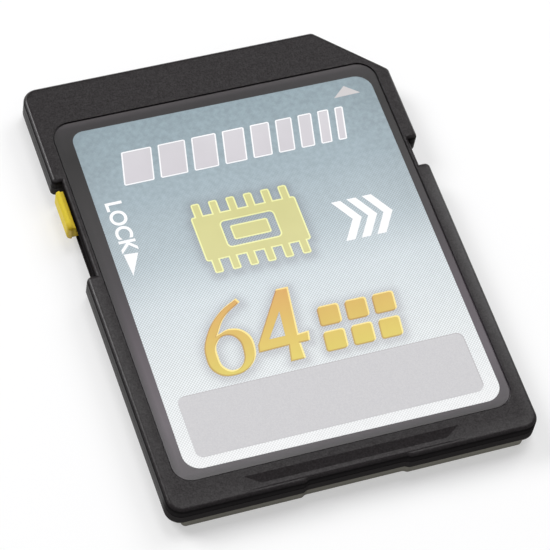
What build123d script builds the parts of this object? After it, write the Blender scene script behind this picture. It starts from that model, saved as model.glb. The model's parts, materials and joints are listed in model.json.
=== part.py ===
"""Flash memory card with a write-lock slider: two welded shells round a populated circuit board.

The card lies on its contact face at z = 0. +X is its width, +Y points to the contact end
and +Z rises through the label. Lengths are millimetres and angles are degrees.
"""

import os
from math import sqrt

from build123d import *

os.makedirs("parts", exist_ok=True)

# Card outline
card_width = 24.0
card_length = 32.0
corner_radius = 1.0
key_cut = 4.0
key_radius = 0.4

# Stack through the thickness, from the contact face up
belly_height = 0.7
board_thickness = 0.32
flash_height = 0.6
chip_headroom = 0.03
roof_thickness = 0.25
label_thickness = 0.12
label_recess = 0.08

# Rails, belly and parting line
rail_width = 0.85
belly_corner_radius = 0.35
belly_draft = 5.0
belly_edge_radius = 0.12
top_edge_radius = 0.3
lower_wall_height = 0.7
parting_groove_depth = 0.03
parting_groove_height = 0.03

# Cavity walls
front_wall = 0.75
rear_wall = 1.2
key_wall = 0.9
cavity_radius = 0.5

# Pins that line up the two shells
pin_diameter = 0.6
pin_length = 0.4
pin_gap = 0.05
pin_front_inset = 5.5
pin_rear_inset = 4.0

# Latch notch, in the edge on the keyed side
latch_from_front = 9.7
latch_length = 2.0
latch_depth = 0.66
latch_mouth_radius = 0.32

# Lock notch, in the other edge
lock_from_front = 7.4
lock_length = 7.2
lock_depth = 0.6
lock_front_mouth_radius = 0.32
lock_rear_mouth_radius = 0.35
lock_wall = 0.3

# Lock slider
slider_length = 3.05
slider_travel = 3.2
slider_gap = 0.05
rib_width = 0.28
rib_flat = 0.06
rib_drop = 0.16
rib_lift = 0.06
rib_foot_round = 0.12
shoulder_drop = 0.3
shoulder_round = 0.08
shoulder_setback = 0.06
web_height = 0.5
flange_width = 0.3

# Grip recess in the rear end
grip_width = 6.8
grip_depth = 0.14
grip_slope = 0.2
grip_radius = 0.35

# Finger groove in the label face, measured from the rear end
groove_depth = 0.18
groove_far_width = 13.9
groove_near_width = 14.7
groove_floor_width = 12.0
groove_far_inset = 1.35
groove_floor_inset = 0.5
groove_floor_length = 0.28
groove_near_inset = 0.34

# Label
label_side_margin = 1.0
label_front_margin = 3.15
label_rear_margin = 1.9
label_radius = 1.25
label_gap = 0.04
label_edge_bevel = 0.04

# Board and its row of contacts
board_gap = 0.1
contact_key_inset = 2.625
contact_plain_inset = 2.25
seventh_pitch = 2.425
eighth_pitch = 1.7
contact_width = 1.5
eighth_contact_width = 0.9
contact_length = 4.0
contact_front_inset = 1.1
ninth_contact_length = 3.4
ninth_contact_inset = 3.7
contact_thickness = 0.035
contact_radius = 0.2
slot_gap = 0.12
slot_end_radius = 0.25

# Relief below the board, with ribs that carry it
relief_floor = 0.35
relief_ledge = 0.7
relief_front_gap = 1.0
relief_rib = 0.8
relief_count = 3
relief_radius = 0.5

# Chips, placed from the edges of the board
flash_width = 14.0
flash_front_inset = 11.5
flash_rear_inset = 1.35
flash_key_inset = 3.0
controller_size = 6.5
controller_drop = 0.1
controller_front_inset = 2.6
controller_key_inset = 5.2
dimple_diameter = 0.8
dimple_depth = 0.05
dimple_inset = 1.0

# Capacitors and resistors, in two columns beside the controller
passive_length = 1.0
passive_width = 0.5
terminal_length = 0.25
terminal_lift = 0.02
capacitor_drop = 0.1
resistor_drop = 0.25
passive_pitch = 1.6
passive_front_inset = 3.0
passive_count = 4
capacitor_column_gap = 0.9
resistor_column_gap = 0.8

# Heights
board_top = belly_height + board_thickness
ceiling = board_top + flash_height + chip_headroom
pocket_floor = ceiling + roof_thickness
card_thickness = pocket_floor + label_thickness + label_recess
parting = belly_height + lower_wall_height

# Edges of the card in plan
half_width = card_width / 2
front = card_length / 2
rear = -front
latch_front = front - latch_from_front

# The slider hooks behind the wall of its notch, with its web in a slit below the parting line
lock_front = front - lock_from_front
lock_middle = lock_front - lock_length / 2
lock_wall_face = -half_width + lock_depth
lock_wall_back = lock_wall_face + lock_wall
flange_outer = lock_wall_back + slider_gap
flange_inner = flange_outer + flange_width
web_length = slider_length - 2 * shoulder_setback
slit_length = web_length + slider_travel + 2 * slider_gap
slit_top = parting + slider_gap
slit_bottom = parting - web_height - slider_gap
slider_middle = lock_middle + slider_travel / 2

# The cavity's sides line up with the slider's channel, and the board fills the cavity
cavity_half_width = -flange_inner - slider_gap
cavity_front = front - front_wall
cavity_rear = rear + rear_wall
cavity_key_sum = half_width + front - key_cut - key_wall * sqrt(2)
cavity_key_cut = cavity_half_width + cavity_front - cavity_key_sum
board_half_width = cavity_half_width - board_gap
board_front = cavity_front - board_gap
board_rear = cavity_rear + board_gap

# The contact row fills the width between its two insets
contact_nine_x = half_width - contact_key_inset
contact_six_x = -half_width + contact_plain_inset + eighth_pitch + seventh_pitch
contact_pitch = (contact_nine_x - contact_six_x) / 6
contact_x = [contact_nine_x - contact_pitch * number for number in range(1, 7)]
contact_x += [contact_six_x - seventh_pitch, contact_six_x - seventh_pitch - eighth_pitch, contact_nine_x]
contact_widths = [contact_width] * 7 + [eighth_contact_width, contact_width]
contact_lengths = [contact_length] * 8 + [ninth_contact_length]
contact_fronts = [front - contact_front_inset] * 8 + [front - ninth_contact_inset]


def vertices_at(sketch, *points):
    """Corners of a sketch that lie at the given points."""
    return sketch.vertices().filter_by(lambda v: any(abs(v.X - x) + abs(v.Y - y) < 1e-3 for x, y in points))


# Plan outline of the card, the same for both shells
with BuildSketch() as card_outline:
    Rectangle(card_width, card_length)
    chamfer(vertices_at(card_outline, (half_width, front)), length=key_cut)
    key_corners = [(half_width - key_cut, front), (half_width, front - key_cut)]
    fillet(vertices_at(card_outline, *key_corners), key_radius)
    square_corners = [(-half_width, front), (-half_width, rear), (half_width, rear)]
    fillet(vertices_at(card_outline, *square_corners), corner_radius)
    # Latch notch
    with Locations((half_width, latch_front)):
        Rectangle(2 * latch_depth, latch_length, align=(Align.CENTER, Align.MAX), mode=Mode.SUBTRACT)
    latch_mouth = [(half_width, latch_front), (half_width, latch_front - latch_length)]
    fillet(vertices_at(card_outline, *latch_mouth), latch_mouth_radius)
    # Lock notch
    with Locations((-half_width, lock_middle)):
        Rectangle(2 * lock_depth, lock_length, mode=Mode.SUBTRACT)
    fillet(vertices_at(card_outline, (-half_width, lock_front)), lock_front_mouth_radius)
    fillet(vertices_at(card_outline, (-half_width, lock_front - lock_length)), lock_rear_mouth_radius)
    # Grip recess in the rear end
    grip_floor_half_width = grip_width / 2 - grip_slope
    grip_corners = [
        (-grip_width / 2, rear),
        (-grip_floor_half_width, rear + grip_depth),
        (grip_floor_half_width, rear + grip_depth),
        (grip_width / 2, rear),
    ]
    with BuildLine():
        Polyline(*grip_corners, close=True)
    make_face(mode=Mode.SUBTRACT)
    fillet(vertices_at(card_outline, *grip_corners), grip_radius)

# Plan outline of the cavity
with BuildSketch() as cavity_outline:
    with Locations((0, (cavity_front + cavity_rear) / 2)):
        Rectangle(2 * cavity_half_width, cavity_front - cavity_rear)
    chamfer(vertices_at(cavity_outline, (cavity_half_width, cavity_front)), length=cavity_key_cut)
    fillet(cavity_outline.vertices(), cavity_radius)

# Plan outline of the slit and channel that the slider runs in
with BuildSketch() as slit_outline:
    with Locations((-cavity_half_width, lock_middle)):
        Rectangle(half_width - cavity_half_width, slit_length, align=(Align.MAX, Align.CENTER))

# Pins stand halfway through the side walls
pin_x = (half_width + cavity_half_width) / 2
pin_places = [(x, y) for x in (-pin_x, pin_x) for y in (front - pin_front_inset, rear + pin_rear_inset)]

# Label face: the pocket for the film lies off centre, nearer the rear end
label_width = card_width - 2 * label_side_margin
label_length = card_length - label_front_margin - label_rear_margin
label_middle = (label_rear_margin - label_front_margin) / 2

# Upper shell
with BuildPart() as upper_shell:
    with BuildSketch(Plane.XY.offset(parting)):
        offset(card_outline.sketch, amount=-parting_groove_depth)
    extrude(amount=parting_groove_height)
    with BuildSketch(Plane.XY.offset(parting + parting_groove_height)):
        add(card_outline.sketch)
    extrude(amount=card_thickness - parting - parting_groove_height)
    fillet(upper_shell.faces().sort_by(Axis.Z)[-1].edges(), top_edge_radius)
    # Pocket for the label
    with BuildSketch(Plane.XY.offset(pocket_floor)):
        with Locations((0, label_middle)):
            pocket_width = label_width + 2 * label_gap
            pocket_length = label_length + 2 * label_gap
            RectangleRounded(pocket_width, pocket_length, label_radius + label_gap)
    extrude(amount=label_thickness + label_recess, mode=Mode.SUBTRACT)
    # Finger groove, with a long slope on its far side and a short one at the end of the card
    with BuildSketch(Plane.XY.offset(card_thickness)):
        with BuildLine():
            Polyline(
                (-groove_far_width / 2, rear + groove_far_inset),
                (-groove_near_width / 2, rear + groove_near_inset),
                (groove_near_width / 2, rear + groove_near_inset),
                (groove_far_width / 2, rear + groove_far_inset),
                close=True,
            )
        make_face()
    with BuildSketch(Plane.XY.offset(card_thickness - groove_depth)):
        with Locations((0, rear + groove_floor_inset)):
            Rectangle(groove_floor_width, groove_floor_length, align=(Align.CENTER, Align.MIN))
    loft(mode=Mode.SUBTRACT)
    # Cavity over the board, open to the slider's channel
    with BuildSketch(Plane.XY.offset(parting)):
        add(cavity_outline.sketch)
        with Locations((lock_wall_back, lock_middle)):
            Rectangle(-cavity_half_width - lock_wall_back, slit_length, align=(Align.MIN, Align.CENTER))
    extrude(amount=ceiling - parting, mode=Mode.SUBTRACT)
    # Slit under the notch wall
    with BuildSketch(Plane.XY.offset(parting)):
        add(slit_outline.sketch)
    extrude(amount=slit_top - parting, mode=Mode.SUBTRACT)
    # Pins
    with BuildSketch(Plane.XY.offset(parting)):
        with Locations(*pin_places):
            Circle(pin_diameter / 2)
    extrude(amount=-pin_length)
upper_shell.part.label = "upper_shell"
export_step(upper_shell.part, "parts/upper_shell.step")

# Lower shell
with BuildPart() as lower_shell:
    # Belly between the rails, narrowing to the contact face
    with BuildSketch(Plane.XY.offset(belly_height)):
        add(card_outline.sketch)
        RectangleRounded(card_width - 2 * rail_width, card_length, belly_corner_radius, mode=Mode.INTERSECT)
    extrude(amount=-belly_height, taper=belly_draft)
    fillet(lower_shell.faces().sort_by(Axis.Z)[0].edges(), belly_edge_radius)
    # Rails and walls
    with BuildSketch(Plane.XY.offset(belly_height)):
        add(card_outline.sketch)
    extrude(amount=lower_wall_height - parting_groove_height)
    with BuildSketch(Plane.XY.offset(parting - parting_groove_height)):
        offset(card_outline.sketch, amount=-parting_groove_depth)
    extrude(amount=parting_groove_height)
    # Seat of the board
    with BuildSketch(Plane.XY.offset(belly_height)):
        add(cavity_outline.sketch)
    extrude(amount=lower_wall_height, mode=Mode.SUBTRACT)
    # Slit in the wall of the lock notch, down to a ledge that the slider runs over
    with BuildSketch(Plane.XY.offset(slit_bottom)):
        add(slit_outline.sketch)
    extrude(amount=parting - slit_bottom, mode=Mode.SUBTRACT)
    # Contact slots, open at the front end
    with BuildSketch():
        for x, width, length, y in zip(contact_x, contact_widths, contact_lengths, contact_fronts):
            slot_rear = y - length - slot_gap
            with Locations((x, slot_rear)):
                slot = Rectangle(
                    width + 2 * slot_gap, front - slot_rear + slot_end_radius, align=(Align.CENTER, Align.MIN)
                )
            fillet(slot.vertices().group_by(Axis.Y)[0], slot_end_radius)
    extrude(amount=belly_height, mode=Mode.SUBTRACT)
    # Relief below the board, behind the slots
    relief_front = min(y - length for y, length in zip(contact_fronts, contact_lengths)) - relief_front_gap
    relief_rear = cavity_rear + relief_ledge
    relief_span = 2 * (cavity_half_width - relief_ledge) + relief_rib
    with BuildSketch(Plane.XY.offset(relief_floor)):
        with Locations((0, (relief_front + relief_rear) / 2)):
            with GridLocations(relief_span / relief_count, 1, relief_count, 1):
                RectangleRounded(
                    relief_span / relief_count - relief_rib, relief_front - relief_rear, relief_radius
                )
    extrude(amount=belly_height - relief_floor, mode=Mode.SUBTRACT)
    # Holes for the pins
    with BuildSketch(Plane.XY.offset(parting)):
        with Locations(*pin_places):
            Circle(pin_diameter / 2 + pin_gap)
    extrude(amount=-pin_length - pin_gap, mode=Mode.SUBTRACT)
lower_shell.part.label = "lower_shell"
export_step(lower_shell.part, "parts/lower_shell.step")

# Lock slider, at the unlocked end of its travel
with BuildPart() as lock_slider:
    rib_inner = -half_width + rib_width
    rib_bottom = belly_height + rib_lift
    rib_top = card_thickness - rib_drop
    shoulder_inner = lock_wall_face - slider_gap
    shoulder_top = card_thickness - shoulder_drop
    web_bottom = slit_bottom + slider_gap
    web_top = slit_top - slider_gap
    flange_top = ceiling - slider_gap
    # Rib that a fingernail pushes, rounded all round its outer side
    with BuildSketch(Plane.XY.offset(rib_bottom)) as rib_plan:
        with Locations((-half_width, slider_middle)):
            Rectangle(rib_width, slider_length, align=(Align.MIN, Align.CENTER))
        fillet(rib_plan.vertices().group_by(Axis.X)[0], rib_width - rib_flat / 2)
    extrude(amount=rib_top - rib_bottom)
    fillet(lock_slider.faces().sort_by(Axis.Z)[-1].edges().sort_by(Axis.X)[:-1], rib_width - rib_flat)
    fillet(lock_slider.faces().sort_by(Axis.Z)[0].edges().sort_by(Axis.X)[:-1], rib_foot_round)
    # Shoulder against the notch wall, web through the slit and flange behind the wall
    with BuildSketch(Plane.XZ.offset(-slider_middle)):
        with BuildLine():
            Polyline(
                (rib_inner, web_bottom),
                (rib_inner, shoulder_top),
                (shoulder_inner, shoulder_top),
                (shoulder_inner, web_top),
                (flange_outer, web_top),
                (flange_outer, flange_top),
                (flange_inner, flange_top),
                (flange_inner, web_bottom),
                close=True,
            )
        make_face()
    extrude(amount=web_length / 2, both=True)
    level_faces = lock_slider.faces().filter_by(Axis.Z)
    shoulder_face = level_faces.filter_by(lambda f: abs(f.center().Z - shoulder_top) < 1e-3)
    fillet(shoulder_face.edges().sort_by(Axis.X)[1:], shoulder_round)
lock_slider.part.label = "lock_slider"
export_step(lock_slider.part, "parts/lock_slider.step")

# Label film, in the pocket of the upper shell
with BuildPart() as label:
    with BuildSketch(Plane.XY.offset(pocket_floor)):
        with Locations((0, label_middle)):
            RectangleRounded(label_width, label_length, label_radius)
    extrude(amount=label_thickness)
    chamfer(label.faces().sort_by(Axis.Z)[-1].edges(), label_edge_bevel)
label.part.label = "label"
export_step(label.part, "parts/label.step")

# Circuit board, on the belly between the walls
with BuildPart() as circuit_board:
    with BuildSketch(Plane.XY.offset(belly_height)):
        offset(cavity_outline.sketch, amount=-board_gap)
    extrude(amount=board_thickness)
circuit_board.part.label = "circuit_board"
export_step(circuit_board.part, "parts/circuit_board.step")

# Contacts, plated on the underside of the board
for number, (x, width, length, y) in enumerate(
    zip(contact_x, contact_widths, contact_lengths, contact_fronts), start=1
):
    with BuildPart() as contact_pad:
        with BuildSketch(Plane.XY.offset(belly_height)):
            with Locations((x, y)):
                RectangleRounded(width, length, contact_radius, align=(Align.CENTER, Align.MAX))
        extrude(amount=-contact_thickness)
    contact_pad.part.label = f"contact_pad_{number}"
    export_step(contact_pad.part, f"parts/contact_pad_{number}.step")

# Flash memory chip, which fills the board between the controller and the rear end
flash_right = board_half_width - flash_key_inset
flash_front = board_front - flash_front_inset
flash_length = flash_front - board_rear - flash_rear_inset
with BuildPart() as flash_chip:
    with BuildSketch(Plane.XY.offset(board_top)):
        with Locations((flash_right, flash_front)):
            Rectangle(flash_width, flash_length, align=(Align.MAX, Align.MAX))
    extrude(amount=flash_height)
    with BuildSketch(Plane.XY.offset(board_top + flash_height)):
        with Locations((flash_right - flash_width + dimple_inset, flash_front - dimple_inset)):
            Circle(dimple_diameter / 2)
    extrude(amount=-dimple_depth, mode=Mode.SUBTRACT)
flash_chip.part.label = "flash_chip"
export_step(flash_chip.part, "parts/flash_chip.step")

# Controller chip, above the contacts
controller_right = board_half_width - controller_key_inset
controller_left = controller_right - controller_size
controller_front = board_front - controller_front_inset
controller_height = flash_height - controller_drop
with BuildPart() as controller_chip:
    with BuildSketch(Plane.XY.offset(board_top)):
        with Locations((controller_right, controller_front)):
            Rectangle(controller_size, controller_size, align=(Align.MAX, Align.MAX))
    extrude(amount=controller_height)
    with BuildSketch(Plane.XY.offset(board_top + controller_height)):
        with Locations((controller_left + dimple_inset, controller_front - dimple_inset)):
            Circle(dimple_diameter / 2)
    extrude(amount=-dimple_depth, mode=Mode.SUBTRACT)
controller_chip.part.label = "controller_chip"
export_step(controller_chip.part, "parts/controller_chip.step")

# Capacitors and resistors, each with a metal terminal at both ends
capacitor_right = controller_left - capacitor_column_gap
resistor_right = capacitor_right - passive_length - resistor_column_gap
columns = [
    ("capacitor", capacitor_right, flash_height - capacitor_drop),
    ("resistor", resistor_right, flash_height - resistor_drop),
]
for kind, right, height in columns:
    for number in range(1, passive_count + 1):
        middle = board_front - passive_front_inset - passive_pitch * (number - 1)
        with BuildPart() as passive:
            with BuildSketch(Plane.XY.offset(board_top)):
                with Locations((right - passive_length / 2, middle)):
                    Rectangle(passive_length, passive_width)
            extrude(amount=height - terminal_lift)
            with BuildSketch(Plane.XY.offset(board_top)):
                with Locations((right - passive_length / 2, middle)):
                    with GridLocations(passive_length - terminal_length, 1, 2, 1):
                        Rectangle(terminal_length, passive_width)
            extrude(amount=height)
        passive.part.label = f"{kind}_{number}"
        export_step(passive.part, f"parts/{kind}_{number}.step")
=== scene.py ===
# %% [markdown]
# # A keyed memory card
# The CAD model holds the card's real pieces at their real size: two moulded shells, a lock slider,
# a label film and the little board inside. This lesson gives every one of those pieces its finish
# and lays the printed inks on the label, one thin plate of ink for each printing pass.
# Everything is in metres, in the CAD frame: the belly rests on z = 0, the contacts are at +Y and the
# label looks up.

# %% Load the frame
import json
import math

import bmesh
import bpy
from mathutils import Matrix, Vector
from mathutils.bvhtree import BVHTree
from mathutils.geometry import delaunay_2d_cdt


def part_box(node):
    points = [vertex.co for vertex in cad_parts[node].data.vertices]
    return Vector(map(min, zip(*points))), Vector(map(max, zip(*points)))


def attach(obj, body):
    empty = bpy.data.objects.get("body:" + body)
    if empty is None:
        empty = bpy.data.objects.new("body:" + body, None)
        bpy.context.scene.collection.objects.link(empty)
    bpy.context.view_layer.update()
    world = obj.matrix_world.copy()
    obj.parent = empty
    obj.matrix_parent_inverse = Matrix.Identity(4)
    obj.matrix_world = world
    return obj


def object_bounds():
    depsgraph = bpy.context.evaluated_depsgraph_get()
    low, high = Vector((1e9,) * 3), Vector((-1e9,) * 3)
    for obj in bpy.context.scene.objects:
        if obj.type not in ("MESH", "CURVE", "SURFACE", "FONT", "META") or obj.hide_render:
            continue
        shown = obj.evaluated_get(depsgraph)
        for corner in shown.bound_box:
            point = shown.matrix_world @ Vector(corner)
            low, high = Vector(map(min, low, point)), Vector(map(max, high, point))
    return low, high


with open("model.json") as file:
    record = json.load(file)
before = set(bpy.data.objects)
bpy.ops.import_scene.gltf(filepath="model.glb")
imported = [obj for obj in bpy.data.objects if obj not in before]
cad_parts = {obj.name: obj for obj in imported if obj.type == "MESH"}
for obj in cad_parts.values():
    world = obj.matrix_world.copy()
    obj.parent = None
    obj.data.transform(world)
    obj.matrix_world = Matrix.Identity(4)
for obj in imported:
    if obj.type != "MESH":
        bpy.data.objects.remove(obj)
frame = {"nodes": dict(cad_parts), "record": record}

MM = 0.001
scene = bpy.context.scene
scene.view_settings.view_transform = "Standard"
cad_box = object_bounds()

# %% [markdown]
# ## Camera
# A product picture of a small flat thing is taken from well back with a long lens, so that its edges
# stay nearly parallel. The camera could be given as a bare matrix. Here it is placed the way a
# photographer would say it: what it looks at, from which side, how high, how far away, and how much
# it is rolled about its own axis.

# %% Camera
LOOK_AT = Vector((-0.174, -0.872, 1.05)) * MM
VIEW_AZIMUTH = math.radians(28.806)
VIEW_ELEVATION = math.radians(56.563)
VIEW_ROLL = math.radians(12.006)
VIEW_DISTANCE = 199.15 * MM
SENSOR_WIDTH = 36.0
LENS = 207.13
NEAREST = 0.01
FURTHEST = 50.0

camera_data = bpy.data.cameras.new("Camera")
camera_data.sensor_width = SENSOR_WIDTH
camera_data.sensor_fit = "HORIZONTAL"
camera_data.lens = LENS
camera_data.clip_start = NEAREST
camera_data.clip_end = FURTHEST
camera = bpy.data.objects.new("Camera", camera_data)
scene.collection.objects.link(camera)
scene.camera = camera

view_line = Vector((
    math.sin(VIEW_AZIMUTH) * math.cos(VIEW_ELEVATION),
    math.cos(VIEW_AZIMUTH) * math.cos(VIEW_ELEVATION),
    -math.sin(VIEW_ELEVATION),
))
upright = view_line.to_track_quat("-Z", "Y").to_matrix().to_4x4()
rolled = upright @ Matrix.Rotation(VIEW_ROLL, 4, "Z")
camera.matrix_world = Matrix.Translation(LOOK_AT - view_line * VIEW_DISTANCE) @ rolled
print("camera at", [round(v / MM, 1) for v in camera.matrix_world.translation], "mm")

# %% [markdown]
# ## Helpers
# A finish in Blender is a tree of small nodes, and wiring each of them by hand takes four or five
# lines. So every helper below makes one node in the tree of the sockets it is given, links or sets
# its inputs and hands back the result. A finish then reads like a few sums.

# %% Meshes and materials


def link_mesh(name, points, faces):
    """A mesh object made of points and faces, linked to the scene."""
    mesh = bpy.data.meshes.new(name)
    mesh.from_pydata(points, [], faces)
    mesh.update()
    thing = bpy.data.objects.new(name, mesh)
    scene.collection.objects.link(thing)
    print("mesh", name, "faces", len(mesh.polygons))
    return thing


def new_material(name):
    """A node material that holds the usual Principled shader and an output."""
    material = bpy.data.materials.new(name)
    material.use_nodes = True
    print("material", name)
    return material


def open_material(material):
    """A material's Principled shader, and the point being shaded in the object's own metres."""
    nodes = material.node_tree.nodes
    return nodes["Principled BSDF"], nodes.new("ShaderNodeTexCoord").outputs["Object"]


# %% Arithmetic nodes


def feed(socket, value):
    """Links a node's output to a socket, or sets the socket to a plain value."""
    if isinstance(value, bpy.types.NodeSocket):
        socket.id_data.links.new(value, socket)
    else:
        socket.default_value = value


def feed_all(node, **values):
    """Feeds several inputs of a node by name, where an underscore stands for a space."""
    for label, value in values.items():
        feed(node.inputs[label.replace("_", " ")], value)


def tree_of(*values):
    """The node tree that holds the first socket among some values."""
    return next(value.id_data for value in values if isinstance(value, bpy.types.NodeSocket))


def math_node(operation, first, second=0.0, third=0.0):
    """One arithmetic node, and its result."""
    values = (first, second, third)
    node = tree_of(*values).nodes.new("ShaderNodeMath")
    node.operation = operation
    for socket, value in zip(node.inputs, values):
        feed(socket, value)
    return node.outputs[0]


def product(first, *others):
    """Several masks multiplied together."""
    for other in others:
        first = math_node("MULTIPLY", first, other)
    return first


def spread_node(value, low, high, to_low=0.0, to_high=1.0):
    """Maps a value from one range to another."""
    node = value.id_data.nodes.new("ShaderNodeMapRange")
    for socket, number in zip(node.inputs, (value, low, high, to_low, to_high)):
        feed(socket, number)
    return node.outputs["Result"]


# %% Places, noise, colours and relief


def axes_of(vector):
    """The parts of a vector, by the names X, Y and Z."""
    node = vector.id_data.nodes.new("ShaderNodeSeparateXYZ")
    feed(node.inputs[0], vector)
    return node.outputs


def noise(vector, scale, detail=2.0):
    """A noise value from 0 to 1 over the surface."""
    node = vector.id_data.nodes.new("ShaderNodeTexNoise")
    feed_all(node, Vector=vector, Scale=scale, Detail=detail)
    return node.outputs["Fac"]


def mix_colours(blend, amount, first, second):
    """Mixes two colours, and gives the result."""
    node = amount.id_data.nodes.new("ShaderNodeMix")
    node.data_type = "RGBA"
    node.blend_type = blend
    feed(node.inputs["Factor"], amount)
    feed(node.inputs[6], first)
    feed(node.inputs[7], second)
    return node.outputs[2]


def add_relief(shader, height, depth, strength=1.0):
    """Bends the shader's normals as if the surface rose by height times depth."""
    bump = height.id_data.nodes.new("ShaderNodeBump")
    feed_all(bump, Height=height, Distance=depth, Strength=strength)
    feed(shader.inputs["Normal"], bump.outputs["Normal"])


# %% [markdown]
# ## Floor
# The card lies on a plain pale light table, which product pictures show nearly white, with only a
# faint shadow. More light would whiten the table, but it would bleach the label too. So part of the
# table's light is its own glow: Light Path tells the table when the camera, or a reflection that the
# camera sees, is looking at it. The glow never lights the card. From below the table is clear, by
# Geometry's Backfacing, and lets a weak lamp through, so the contacts can be looked at too.

# %% Floor
FLOOR_HALF = 3.0
FLOOR_DROP = 0.02 * MM
FLOOR_COLOUR = (0.93, 0.93, 0.935, 1.0)
FLOOR_ROUGHNESS = 0.9
FLOOR_GLOW = 0.42
SQUARE = ((-1, -1), (1, -1), (1, 1), (-1, 1))


def mix_shaders(share, first, second):
    """Mixes two shaders by a share from 0 to 1."""
    node = share.id_data.nodes.new("ShaderNodeMixShader")
    for socket, value in zip(node.inputs, (share, first, second)):
        feed(socket, value)
    return node.outputs["Shader"]


def table_finish():
    """Matt white that glows for the camera alone, and is clear from below and to shadow rays."""
    material = new_material("floor_paper")
    tree = material.node_tree
    shader = tree.nodes["Principled BSDF"]
    feed_all(shader, Base_Color=FLOOR_COLOUR, Roughness=FLOOR_ROUGHNESS, Specular_IOR_Level=0.0)
    sight = tree.nodes.new("ShaderNodeLightPath").outputs
    seen = math_node("MAXIMUM", sight["Is Camera Ray"], sight["Is Glossy Ray"])
    seen_through = math_node("MAXIMUM", seen, sight["Is Transmission Ray"])
    glow_share = math_node("MULTIPLY", seen_through, FLOOR_GLOW)
    glow = tree.nodes.new("ShaderNodeEmission").outputs["Emission"]
    lit = mix_shaders(glow_share, shader.outputs["BSDF"], glow)
    behind = tree.nodes.new("ShaderNodeNewGeometry").outputs["Backfacing"]
    clear_share = math_node("MAXIMUM", behind, sight["Is Shadow Ray"])
    clear = tree.nodes.new("ShaderNodeBsdfTransparent").outputs["BSDF"]
    surface = mix_shaders(clear_share, lit, clear)
    feed(tree.nodes["Material Output"].inputs["Surface"], surface)
    return material


floor_corners = [(x * FLOOR_HALF, y * FLOOR_HALF, -FLOOR_DROP) for x, y in SQUARE]
floor = link_mesh("floor", floor_corners, [(0, 1, 2, 3)])
floor.data.materials.append(table_finish())

# %% [markdown]
# ## Sky and lamps
# The room is dim: the sky is weak overhead and weaker still at the horizon, so that black plastic
# stays black and its rounded edges show. One big lamp overhead would draw no line along the edges. So
# the light comes from three softboxes behind the card, which leaves the end wall that faces us in
# shade. The large one on the left draws a bright line along the left edge. A small one higher up has
# its mirror image just off the near left corner of the label, where the lacquer catches a sheen. The
# third fills in from the right, and a lamp below the table lights the contacts.

# %% Sky
HORIZON_LEVEL = 0.16
ZENITH_LEVEL = 0.40

world = bpy.data.worlds.new("studio")
world.use_nodes = True
scene.world = world
sky_tree = world.node_tree
sky = sky_tree.nodes["Background"]
sky.inputs["Color"].default_value = (1, 1, 1, 1)
sky_height = axes_of(sky_tree.nodes.new("ShaderNodeTexCoord").outputs["Generated"])["Z"]
sky_level = spread_node(sky_height, 0.0, 1.0, HORIZON_LEVEL, ZENITH_LEVEL)
feed(sky.inputs["Strength"], sky_level)
print("sky from", HORIZON_LEVEL, "at the horizon to", ZENITH_LEVEL, "overhead")

# %% Lamps
LAMP_DISTANCE = 0.8


def softbox(name, towards, size, level):
    """A square area lamp that adds about `level` to a white surface facing it."""
    lamp = bpy.data.lights.new(name, "AREA")
    lamp.shape = "SQUARE"
    lamp.size = size
    lamp.energy = level * math.pi ** 2 * LAMP_DISTANCE ** 2
    box = bpy.data.objects.new(name, lamp)
    scene.collection.objects.link(box)
    direction = Vector(towards).normalized()
    turn = direction.to_track_quat("Z", "Y").to_matrix().to_4x4()
    box.matrix_world = Matrix.Translation(direction * LAMP_DISTANCE) @ turn
    print(name, "energy", round(lamp.energy, 2), "W")


softbox("left_softbox", towards=(-0.54, 0.54, 0.65), size=0.34, level=0.56)
softbox("right_softbox", towards=(0.60, 0.42, 0.68), size=0.40, level=0.30)
softbox("high_softbox", towards=(0.15, 0.32, 0.936), size=0.26, level=0.26)
softbox("table_lamp", towards=(-0.25, -0.35, -0.90), size=0.5, level=0.7)

# %% [markdown]
# ## Shared effects
# Some things show up on more than one finish, so each is a node group that is built once and placed
# in a material with its own values. The first is the fine spark-eroded grain that a mould leaves on
# plastic: fine pits on a coarser unevenness, as a height for relief, a change of gloss and a fleck of
# colour. The second is the faint smudges that handling leaves on any smooth face.

# %% Group helpers


def shader_group(name, inputs, outputs):
    """An empty shader node group with named sockets: the group, what it is given and its output node."""
    group = bpy.data.node_groups.new(name, "ShaderNodeTree")
    for label, kind, start in inputs:
        socket = group.interface.new_socket(label, in_out="INPUT", socket_type="NodeSocket" + kind)
        if start is not None:
            socket.default_value = start
    for label, kind in outputs:
        group.interface.new_socket(label, in_out="OUTPUT", socket_type="NodeSocket" + kind)
    print("node group", name)
    return group, group.nodes.new("NodeGroupInput").outputs, group.nodes.new("NodeGroupOutput")


def use_group(group, place, **values):
    """Puts a node group in the tree of a place, feeds its named inputs and gives its outputs."""
    node = place.id_data.nodes.new("ShaderNodeGroup")
    node.node_tree = group
    feed_all(node, Place=place, **values)
    return node.outputs


# %% Moulded grain
NOISE_RANGE = (0.3, 0.7)
FLECK_RANGE = (0.35, 0.65)
COARSE_SCALE = 0.23
COARSE_HEIGHT = 0.6
GRAIN_SWING = 0.05


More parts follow.
